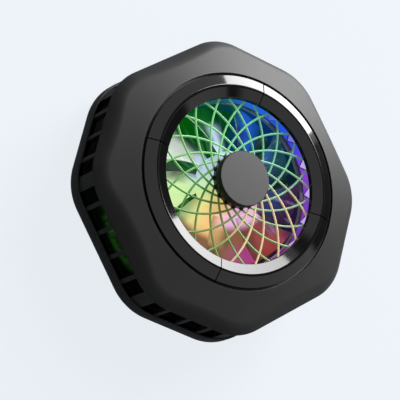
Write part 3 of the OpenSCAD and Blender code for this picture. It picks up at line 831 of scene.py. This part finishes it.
# %% [markdown]
# The hub cap is a plain disc that hides where the wires meet: a matte grey face with a black edge. It stays
# bare.

# %% Hub cap


def paint_cap(place):
    face = 1 - radius(place).step(cap_r - 0.26, cap_r - 0.14)
    grain = noise(place, 0.15)
    grey = (0.5 * grain + 0.5 * noise(place, 4.0)).mix(rgb(0.098, 0.098, 0.098), rgb(0.114, 0.114, 0.114))
    return {
        "Base Color": face.mix(rgb(0.006, 0.006, 0.006), grey),
        "Roughness": 0.55 + 0.15 * grain,
        "Normal": bumps(place, grain, 0.002),
    }


cap_plastic = finish("cap_plastic", paint_cap, specular_ior_level=0.25)
cap_chain = soften(
    [(axis_r, z_cap), (cap_r, z_cap), (cap_r, z_cap_top), (axis_r, z_cap_top)], [0.15, 0.2], steps=7
)
cap_skin = skin(turned(cap_chain, full_turn(128)), caps=True)
piece("hub_disc", [cap_skin], cap_plastic, ["hub_cap"])

# %% [markdown]
# The fan itself is moulded in frosted clear plastic, so its blades take the colour of the lamps nearest to
# them. Each blade is a thin closed surface: a rounded strip across the chord, carried from the hub to the
# tip.

# %% Blade
blade_count, blade_h, blade_t = 9, 4.8, 0.9
blade_span, blade_sweep, blade_camber = 33.0, 14.0, 1.25
hub_r, hub_wall, hub_h = 8.2, 1.0, 5.6


def blade(number, stations=26, ring=44):
    """Blade surface over share s of the span and angle t round the section. The chord share is (1 - cos t)
    / 2, the thickness follows the sine of t, and the chord rises and turns about the axis as it goes."""
    s = np.linspace(0, 1, stations)[:, None]
    t = full_turn(ring)[None, :]
    u = (1 - np.cos(t)) / 2
    r = hub_r - hub_wall / 2 + (fan_r - hub_r + hub_wall / 2) * s + 0 * t
    a = np.radians(number * 360 / blade_count + blade_sweep * s + blade_span * (u - 0.5))
    thick = np.sign(np.sin(t)) * np.abs(np.sin(t)) ** 0.6 * blade_t / 2
    z = z_blades + blade_t / 2 + (blade_h - blade_t) * u**blade_camber + thick + 0 * s
    return np.stack([r * np.cos(a), r * np.sin(a), z], -1), u + 0 * s


print(blade_count, "blades of", round(fan_r - hub_r, 1), "mm")

# %% [markdown]
# The blades' colours are the light of the lamps, painted on as a glow. They go round the axis like the lamps
# do, and they differ near the hub, in the middle and at the tips. Three rings of named hues are mixed by the
# distance from the axis. Each blade is painted darker towards its low edge, as shade.

# %% Blade colours
hues = {
    "leaf": (0.0, 0.085, 0.008),
    "mint": (0.40, 0.46, 0.40),
    "lime": (0.52, 0.74, 0.32),
    "lemon": (0.74, 0.66, 0.24),
    "peach": (0.88, 0.52, 0.20),
    "rust": (0.20, 0.09, 0.04),
    "wine": (0.27, 0.04, 0.035),
    "magenta": (0.34, 0.03, 0.20),
    "plum": (0.045, 0.012, 0.055),
    "navy": (0.008, 0.020, 0.110),
    "teal": (0.010, 0.060, 0.080),
    "blue": (0.010, 0.095, 0.520),
    "ice": (0.46, 0.58, 0.74),
    "pink": (0.74, 0.42, 0.66),
}


def ring_of_hues(place, *stops):
    """Colour by the angle about the axis, from pairs of an angle in degrees and the name of a hue."""
    return by_angle(place, [(angle, hues[name]) for angle, name in stops])


def paint_blades(place):
    out = radius(place)
    root = ring_of_hues(
        place, (-180, "ice"), (-135, "ice"), (-105, "lime"), (-80, "lemon"), (-55, "peach"), (-30, "pink"),
        (18, "pink"), (40, "plum"), (75, "navy"), (110, "teal"), (140, "navy"), (162, "ice"), (180, "ice"))
    middle = ring_of_hues(
        place, (-180, "leaf"), (-164, "leaf"), (-154, "mint"), (-134, "mint"), (-112, "lime"), (-88, "lime"),
        (-75, "lemon"), (-62, "peach"), (-46, "peach"), (-32, "rust"), (8, "wine"), (28, "plum"),
        (45, "navy"), (90, "teal"), (118, "blue"), (142, "navy"), (168, "ice"), (180, "leaf"))
    tip = ring_of_hues(
        place, (-180, "leaf"), (-164, "leaf"), (-154, "mint"), (-134, "mint"), (-112, "lime"), (-92, "lime"),
        (-76, "rust"), (-34, "rust"), (-18, "magenta"), (0, "wine"), (20, "wine"), (30, "plum"), (64, "plum"),
        (82, "teal"), (108, "teal"), (122, "blue"), (136, "blue"), (148, "leaf"), (180, "leaf"))
    hue = out.step(9.8, 12.2).mix(root, out.step(14.5, 17.0).mix(middle, tip))
    chord = place.node("Attribute", {"attribute_name": "chord"}, out="Fac")
    turn = around_axis(place)
    # Painted glints: pale lilac streaks on the far side, where the sink's fins shine through the blades.
    fan = place.node("CombineXYZ", inputs={0: turn * 90.0, 1: out * 0.16})
    streak_and_glint = place.node("TexNoise", inputs={"Vector": fan, "Scale": 1.0, "Detail": 2.0}).step(0.54, 0.72)
    far_side = turn.step(0.53, 0.57) * (1 - turn.step(0.80, 0.84))
    hue = (streak_and_glint * far_side * 0.5).mix(hue, rgb(0.30, 0.24, 0.55))
    # Painted shade: each blade is darker towards its low edge, with darker blobs at random.
    shade = 0.55 * (1 - chord.step(0.0, 0.5)) + 0.25 * noise(place, 6.0).step(0.45, 0.7)
    glow = shade.mix(hue, rgb(0.0, 0.01, 0.005))
    return {
        "Base Color": (0.7 + 0.2 * noise(place, 3.0)).mix(glow, rgb(0.005, 0.005, 0.005)),
        "Emission Color": glow,
        "Roughness": 0.18 + 0.12 * noise(place, 1.5),
    }


fan_plastic = finish("fan_plastic", paint_blades, emission_strength=1.05, specular_ior_level=0.35)
print(len(hues), "hues")

# %% [markdown]
# Nine blades and the hub make one piece. Two kinds of point need telling apart in its finish, so each point
# carries its share of the chord, and the hub's points carry 1.

# %% Fan
blades = [blade(number) for number in range(blade_count)]
hub_in, z_hub_low, z_hub_inside = hub_r - hub_wall, z_hub_top - hub_h, z_hub_top - hub_wall
hub_chain = soften(
    [
        (axis_r, z_hub_top),
        (hub_r, z_hub_top),
        (hub_r, z_hub_low),
        (hub_in, z_hub_low),
        (hub_in, z_hub_inside),
        (axis_r, z_hub_inside),
    ],
    [0.6, 0.15, 0.15, 0.2],
)
fan_skins = [skin(grid, caps=True) for grid, _ in blades]
fan_skins.append(skin(turned(hub_chain, full_turn(96)), caps=True))
rotor = piece("fan_blades", fan_skins, fan_plastic, ["impeller"], body="rotor")
chords = np.ones(len(rotor.data.vertices), np.float32)
along = np.concatenate([share.ravel() for _, share in blades])
chords[:len(along)] = along
rotor.data.attributes.new("chord", "FLOAT", "POINT").data.foreach_set("value", chords)

# %% [markdown]
# What is left are the parts inside and on the back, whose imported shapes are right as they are. Each gets
# the finish of its real material. Most are a colour that drifts a little, with a roughness and a grain of
# their own. A few have a pattern: lathe rings, wire turns, copper tracks or foam cells.

# %% Patterns of the inner parts


def plain(dark, light, rough, size=0.8, depth=0.004, metal=0.0, **constants):
    """A finish whose colour drifts between two values in blobs of one size, with a grain a quarter as
    wide."""

    def paint(place):
        drift = noise(place, size, 3.0)
        return {
            "Base Color": drift.step(0.3, 0.7).mix(rgb(*dark), rgb(*light)),
            "Roughness": rough + 0.12 * drift,
            "Normal": bumps(place, noise(place, size / 4), depth),
        }

    return lambda name: finish(name, paint, metallic=metal, **constants)


def paint_turned(place):
    """Fine rings from the lathe: a wave in the distance from the axis."""
    rings = place.maths("SINE", radius(place) * 28.0)
    drift = noise(place, 3.0)
    return {
        "Base Color": drift.mix(rgb(0.70, 0.71, 0.73), rgb(0.80, 0.81, 0.83)),
        "Roughness": 0.26 + 0.06 * drift + 0.03 * rings,
        "Normal": bumps(place, rings, 0.003),
    }


def paint_sink(place):
    """Bare aluminium, with the green light of the lamps painted on one side as a glow."""
    glow_hues = [(-180, (0.0, 0.075, 0.002)), (-95, (0.0, 0.060, 0.002)), (-60, (0.012, 0.016, 0.0)),
                 (-20, (0.010, 0.002, 0.004)), (50, (0.004, 0.002, 0.014)), (80, (0.0, 0.018, 0.010)),
                 (110, (0.0, 0.020, 0.018)), (150, (0.0, 0.050, 0.006)), (180, (0.0, 0.075, 0.002))]
    drift = noise(place, 1.2)
    return {
        "Base Color": drift.mix(rgb(0.07, 0.09, 0.08), rgb(0.12, 0.14, 0.13)),
        "Roughness": 0.38 + 0.14 * drift,
        "Emission Color": by_angle(place, glow_hues),
        "Normal": bumps(place, noise(place, 0.3), 0.006),
    }


def paint_frame(place):
    """Black plastic. A faint green glow of painted light lies on the side that the lamps leak to, and the duct
    wall round the opening glows with painted light in the lamps' colours.
    """
    dark = (0, 0, 0)
    glow_hues = [(-180, dark), (-125, (0.0, 0.006, 0.0)), (-85, (0.004, 0.045, 0.006)),
                 (-50, (0.001, 0.006, 0.001)), (-20, (0.004, 0.0, 0.0)), (20, dark), (180, dark)]
    duct_hues = [(-180, (0.0, 0.05, 0.02)), (-60, (0.03, 0.03, 0.0)), (0, (0.02, 0.004, 0.02)),
                 (45, (0.012, 0.004, 0.035)), (80, (0.0, 0.012, 0.02)), (120, (0.0, 0.025, 0.14)),
                 (155, (0.0, 0.04, 0.03)), (180, (0.0, 0.05, 0.02))]
    duct = 1 - radius(place).step(open_r + 0.05, open_r + 0.3)
    grain = noise(place, 0.3)
    return {
        "Base Color": grain.mix(rgb(0.010, 0.010, 0.011), rgb(0.018, 0.018, 0.019)),
        "Roughness": 0.42 + 0.1 * grain,
        "Emission Color": duct.mix(by_angle(place, glow_hues), by_angle(place, duct_hues)),
        "Normal": bumps(place, grain, 0.004),
    }


def paint_winding(place):
    """Enamelled wire: a wave up the coil, one ridge to a turn. The copper is painted darker in the grooves
    between turns, as shade.
    """
    turns = place.maths("SINE", height(place) * 24.0)
    return {
        "Base Color": turns.step(-1, 1).mix(rgb(0.30, 0.10, 0.03), rgb(0.62, 0.27, 0.10)),
        "Roughness": 0.28 + 0.08 * turns.step(-1, 1),
        "Normal": bumps(place, turns, 0.03),
    }


def paint_board(place):
    """Green solder mask over copper tracks: a brick pattern stands for the tracks."""
    sockets = {"Vector": place, "Scale": 700.0, "Mortar Size": 0.06}
    tracks = place.node("TexBrick", {"offset": 0.5}, sockets, out="Fac")
    return {
        "Base Color": tracks.mix(rgb(0.012, 0.090, 0.045), rgb(0.030, 0.170, 0.085)),
        "Roughness": 0.30 + 0.12 * noise(place, 0.7),
        "Normal": bumps(place, tracks, 0.02),
    }


def paint_foam(place):
    """Closed cells: the distance to the nearest of many scattered points. The pit in the middle of each cell
    is painted darker, as shade.
    """
    cells = place.node("TexVoronoi", inputs={"Vector": place, "Scale": 2200.0})
    return {
        "Base Color": cells.mix(rgb(0.020, 0.020, 0.021), rgb(0.050, 0.050, 0.052)),
        "Roughness": 0.80 + 0.15 * cells,
        "Normal": bumps(place, cells, 0.06),
    }


def paint_lamp(place):
    """A white package that glows with the hue of its side."""
    return {
        "Base Color": noise(place, 0.4).mix(rgb(0.85, 0.82, 0.70), rgb(0.95, 0.93, 0.84)),
        "Emission Color": by_angle(place, guide_hues),
        "Roughness": 0.3 + 0.1 * noise(place, 0.2),
    }


# %% [markdown]
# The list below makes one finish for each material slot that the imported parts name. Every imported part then
# takes the finish of its slot, also where a dressed piece stands in front of it.

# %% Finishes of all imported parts
inner_finishes = {
    "frame_plastic": lambda name: finish(name, paint_frame, emission_strength=1.0),
    "light_board": plain((0.66, 0.66, 0.62), (0.78, 0.78, 0.74), 0.35),
    "led_package": lambda name: finish(name, paint_lamp, emission_strength=0.2),
    "bronze": plain((0.42, 0.27, 0.11), (0.60, 0.41, 0.20), 0.32, metal=1.0),
    "core_steel": plain((0.36, 0.37, 0.39), (0.48, 0.49, 0.51), 0.34, metal=1.0),
    "copper_winding": lambda name: finish(name, paint_winding, metallic=0.6),
    "circuit_board": lambda name: finish(name, paint_board, coat_weight=0.2),
    "ferrite": plain((0.045, 0.045, 0.05), (0.08, 0.08, 0.085), 0.5),
    "shaft_steel": plain((0.66, 0.67, 0.69), (0.78, 0.79, 0.81), 0.12, metal=1.0, depth=0.001),
    "sink_aluminium": lambda name: finish(name, paint_sink, metallic=1.0, emission_strength=1.0),
    "thermal_pad": plain((0.30, 0.36, 0.41), (0.40, 0.47, 0.52), 0.62),
    "ceramic": plain((0.80, 0.80, 0.78), (0.90, 0.90, 0.88), 0.4),
    "semiconductor": plain((0.14, 0.15, 0.17), (0.26, 0.27, 0.30), 0.36, metal=0.7),
    "plate_aluminium": lambda name: finish(name, paint_turned, metallic=1.0),
    "foam": lambda name: finish(name, paint_foam),
    "magnet_nickel": plain((0.52, 0.52, 0.54), (0.66, 0.66, 0.68), 0.14, metal=1.0, depth=0.001),
    "silicone": plain((0.016, 0.016, 0.017), (0.028, 0.028, 0.030), 0.62, size=2.0, sheen_weight=0.2),
    "chip_plastic": plain((0.012, 0.012, 0.013), (0.024, 0.024, 0.026), 0.45),
    "socket_steel": plain((0.54, 0.55, 0.57), (0.68, 0.69, 0.71), 0.2, metal=1.0, depth=0.002),
    "screw_black": plain((0.014, 0.014, 0.015), (0.035, 0.035, 0.037), 0.35, metal=0.8),
    "screw_zinc": plain((0.42, 0.43, 0.45), (0.58, 0.59, 0.61), 0.26, metal=1.0),
    "lead_red": plain((0.34, 0.010, 0.008), (0.50, 0.025, 0.018), 0.42),
    "lead_black": plain((0.008, 0.008, 0.008), (0.018, 0.018, 0.018), 0.42),
}
made = {slot_name: maker(slot_name) for slot_name, maker in inner_finishes.items()}
made.update(housing_plastic=housing_plastic, trim_gloss=trim_gloss, guide_plastic=guide_plastic,
            guard_plastic=guard_plastic, cap_plastic=cap_plastic, fan_plastic=fan_plastic)
for part in frame["record"]["subparts"]:
    packed = frame["nodes"][part["node"]]
    packed.data.materials.clear()
    packed.data.materials.append(made[part["material_slot"]])
print(len(made), "finishes")

# %% [markdown]
# The studio is plain: a pale floor, one large softbox beyond the object and a dim room. A Light Path node
# tells what a ray is for. To the camera the floor is a plain pale ground that keeps a faint shadow. To
# glossy surfaces it is dimmer on the near side, and the light that it throws on the object is small, so
# black stays black.

# %% Floor
pale = rgb(0.855, 0.896, 0.947)


def rays(place, *kinds):
    """1 for rays of the named kinds, and 0 for all others."""
    total = sum(place.node("LightPath", out=f"Is {kind} Ray") for kind in kinds)
    return place.maths("MINIMUM", total, 1.0)


floor_size, floor_shown = 3000, 0.92
corners = np.array([[-1, -1, 0], [1, -1, 0], [1, 1, 0], [-1, 1, 0]]) * floor_size * MM
floor_mesh = bpy.data.meshes.new("floor")
floor_mesh.from_pydata(corners, [], [(0, 1, 2, 3)])
floor = bpy.data.objects.new("floor", floor_mesh)
bpy.context.scene.collection.objects.link(floor)
floor_paint = bpy.data.materials.new("floor_paint")
floor_paint.use_nodes = True
floor_paint.node_tree.nodes.clear()
s = Shade(floor_paint.node_tree)
lit = s.node("BsdfDiffuse", inputs={"Color": pale})
plain_glow = s.node("Emission", inputs={"Color": pale, "Strength": 1.0})
beyond = s.node("SeparateXYZ", inputs={0: s.node("TexCoord", out="Object")}, out="Y").step(-0.02, 0.09)
dim_glow = s.node("Emission", inputs={"Color": pale, "Strength": 0.2 + 0.5 * beyond})
mirror = rays(s, "Glossy")
look = s.node("MixShader", inputs={0: mirror, 1: plain_glow, 2: dim_glow})
shown = s.maths("MAXIMUM", rays(s, "Camera", "Glossy", "Transmission") * floor_shown, mirror)
mixed = s.node("MixShader", inputs={0: shown, 1: lit, 2: look})
s.node("OutputMaterial", inputs={"Surface": mixed})
floor_mesh.materials.append(floor_paint)
print("floor", 2 * floor_size, "mm wide")

# %% [markdown]
# The room is pale to the camera, dim as a lamp, and of its own make for glossy surfaces. They see walls
# that brighten upwards, with two dark bands: a flag beside the softbox and another above it. A photographer
# hangs such black cloths to give a glossy edge its dark lines.

# %% Room
world = bpy.data.worlds.new("room")
bpy.context.scene.world = world
world.use_nodes = True
world.node_tree.nodes.clear()
s = Shade(world.node_tree)
ray = s.node("TexCoord", out="Generated")
x, y, z = [s.node("SeparateXYZ", inputs={0: ray}, out=axis) for axis in "XYZ"]
side = s.maths("ARCTAN2", y, x) * (180 / np.pi)
flag = side.step(54, 58) * (1 - side.step(88, 90)) * (1 - z.step(0.56, 0.62))
above = z.step(0.75, 0.77) * (1 - z.step(0.89, 0.92)) * y.step(0.25, 0.35)
room = (0.34 + 0.54 * (z + 0.6 * y).step(-0.2, 0.7)) * (1 - 0.94 * flag) * (1 - 0.9 * above)
dim = s.node("Background", inputs={"Color": rgb(0.95, 0.97, 1.0), "Strength": 0.12})
shown = s.node("Background", inputs={"Color": pale, "Strength": 1.0})
mirrored = s.node("Background", inputs={"Color": rgb(1, 1, 1), "Strength": room})
mixed = s.node("MixShader", inputs={0: rays(s, "Glossy"), 1: dim, 2: mirrored})
mixed = s.node("MixShader", inputs={0: rays(s, "Camera", "Transmission"), 1: mixed, 2: shown})
s.node("OutputWorld", inputs={"Surface": mixed})
print("room with", len(world.node_tree.nodes), "nodes")

# %% [markdown]
# The softbox stands low beyond the object. Its place was read from the bands of light on the trim ring: a
# mirror turned by a known angle shows where its lamp must be.

# %% Softbox
lamp_from, lamp_to = 89.0, 127.0
lamp_low, lamp_high = 1.0, 49.0
lamp_distance, lamp_radiance = 1.2, 11.0
turn = np.radians((lamp_from + lamp_to) / 2)
tilt = np.radians((lamp_low + lamp_high) / 2)
ahead = np.array([np.cos(tilt) * np.cos(turn), np.cos(tilt) * np.sin(turn), np.sin(tilt)])
sideways = np.array([-np.sin(turn), np.cos(turn), 0])
lamp = bpy.data.lights.new("softbox", "AREA")
lamp.shape = "RECTANGLE"
lamp.size = 2 * lamp_distance * np.cos(tilt) * np.tan(np.radians(lamp_to - lamp_from) / 2)
lamp.size_y = 2 * lamp_distance * np.tan(np.radians(lamp_high - lamp_low) / 2)
lamp.energy = lamp_radiance * 4 * lamp.size * lamp.size_y
softbox = bpy.data.objects.new("softbox", lamp)
bpy.context.scene.collection.objects.link(softbox)
stand(softbox, sideways, np.cross(ahead, sideways), ahead, ahead * lamp_distance)
bpy.context.scene.view_settings.view_transform = "Standard"
print("softbox", round(lamp.size, 2), "by", round(lamp.size_y, 2), "m")
